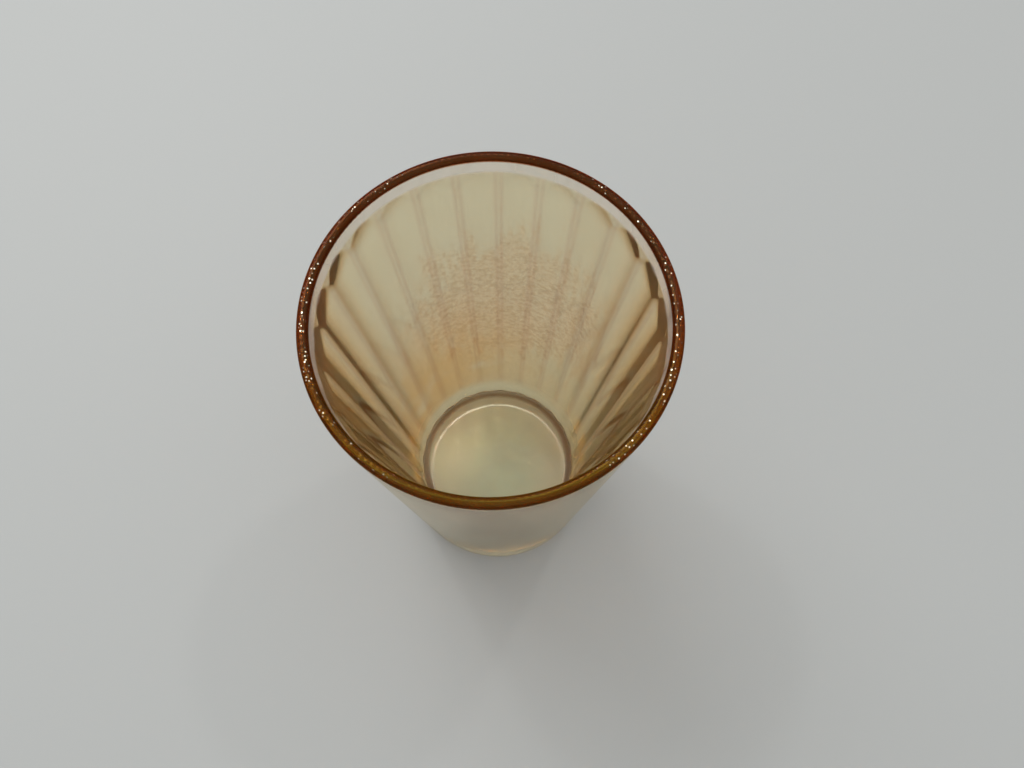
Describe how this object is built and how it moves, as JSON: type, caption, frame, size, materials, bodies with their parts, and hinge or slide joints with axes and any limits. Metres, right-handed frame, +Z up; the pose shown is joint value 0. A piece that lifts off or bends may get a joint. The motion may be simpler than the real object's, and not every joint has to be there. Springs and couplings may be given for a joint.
{
  "type": "chai glass",
  "caption": "Tapered pressed tea glass with a rounded rim, a smooth outer wall, convex arched panels inside and a thick solid base on a foot ring.",
  "frame": {"origin": "on the table plane, under the middle of the foot", "axes": "+Z up along the glass's axis to the mouth, -Y towards the camera side of the picture"},
  "size_m": [0.062, 0.062, 0.0945],
  "materials": {
    "lustre_glass": "amber lustre, fire polished"
  },
  "bodies": {
    "root": {"foot": "lustre_glass", "base": "lustre_glass", "panel_wall": "lustre_glass", "rim": "lustre_glass"}
  },
  "joints": []
}
